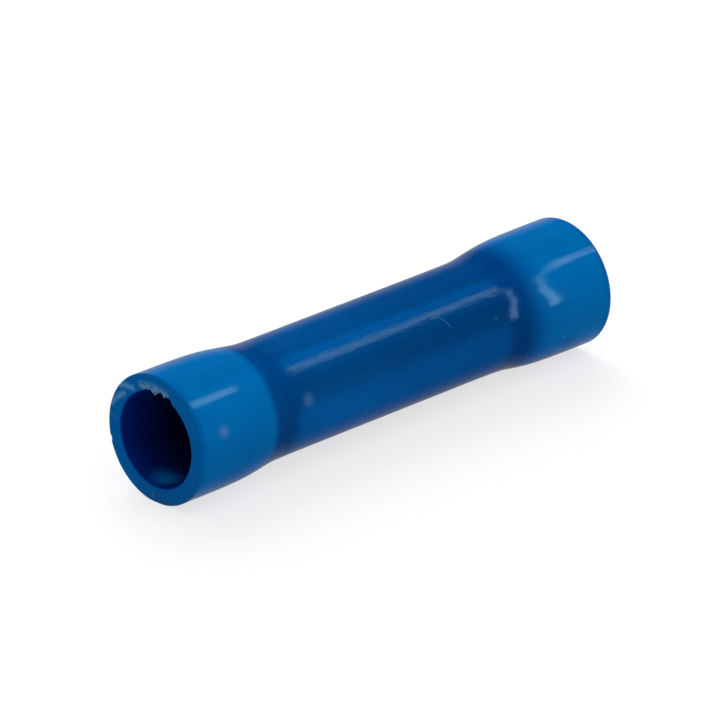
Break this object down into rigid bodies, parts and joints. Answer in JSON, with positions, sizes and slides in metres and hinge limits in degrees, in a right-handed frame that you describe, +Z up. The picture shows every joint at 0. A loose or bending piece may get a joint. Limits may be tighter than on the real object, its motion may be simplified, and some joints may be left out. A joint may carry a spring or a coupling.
{
  "type": "butt splice connector",
  "caption": "Insulated butt splice: a tinned copper crimp barrel in a blue PVC sleeve with a flared mouth at each end, for joining wires end to end.",
  "frame": {"origin": "on the ground under the middle of the splice, which lies on its side", "axes": "+X along the splice's axis, towards the right-hand wire; +Z up"},
  "size_m": [0.026, 0.0062, 0.0061],
  "materials": {
    "sleeve_pvc": "semi-gloss translucent blue PVC",
    "tinned_copper": "electro-tinned copper, satin"
  },
  "bodies": {
    "root": {"insulating_sleeve": "sleeve_pvc", "crimp_barrel": "tinned_copper"}
  },
  "joints": []
}
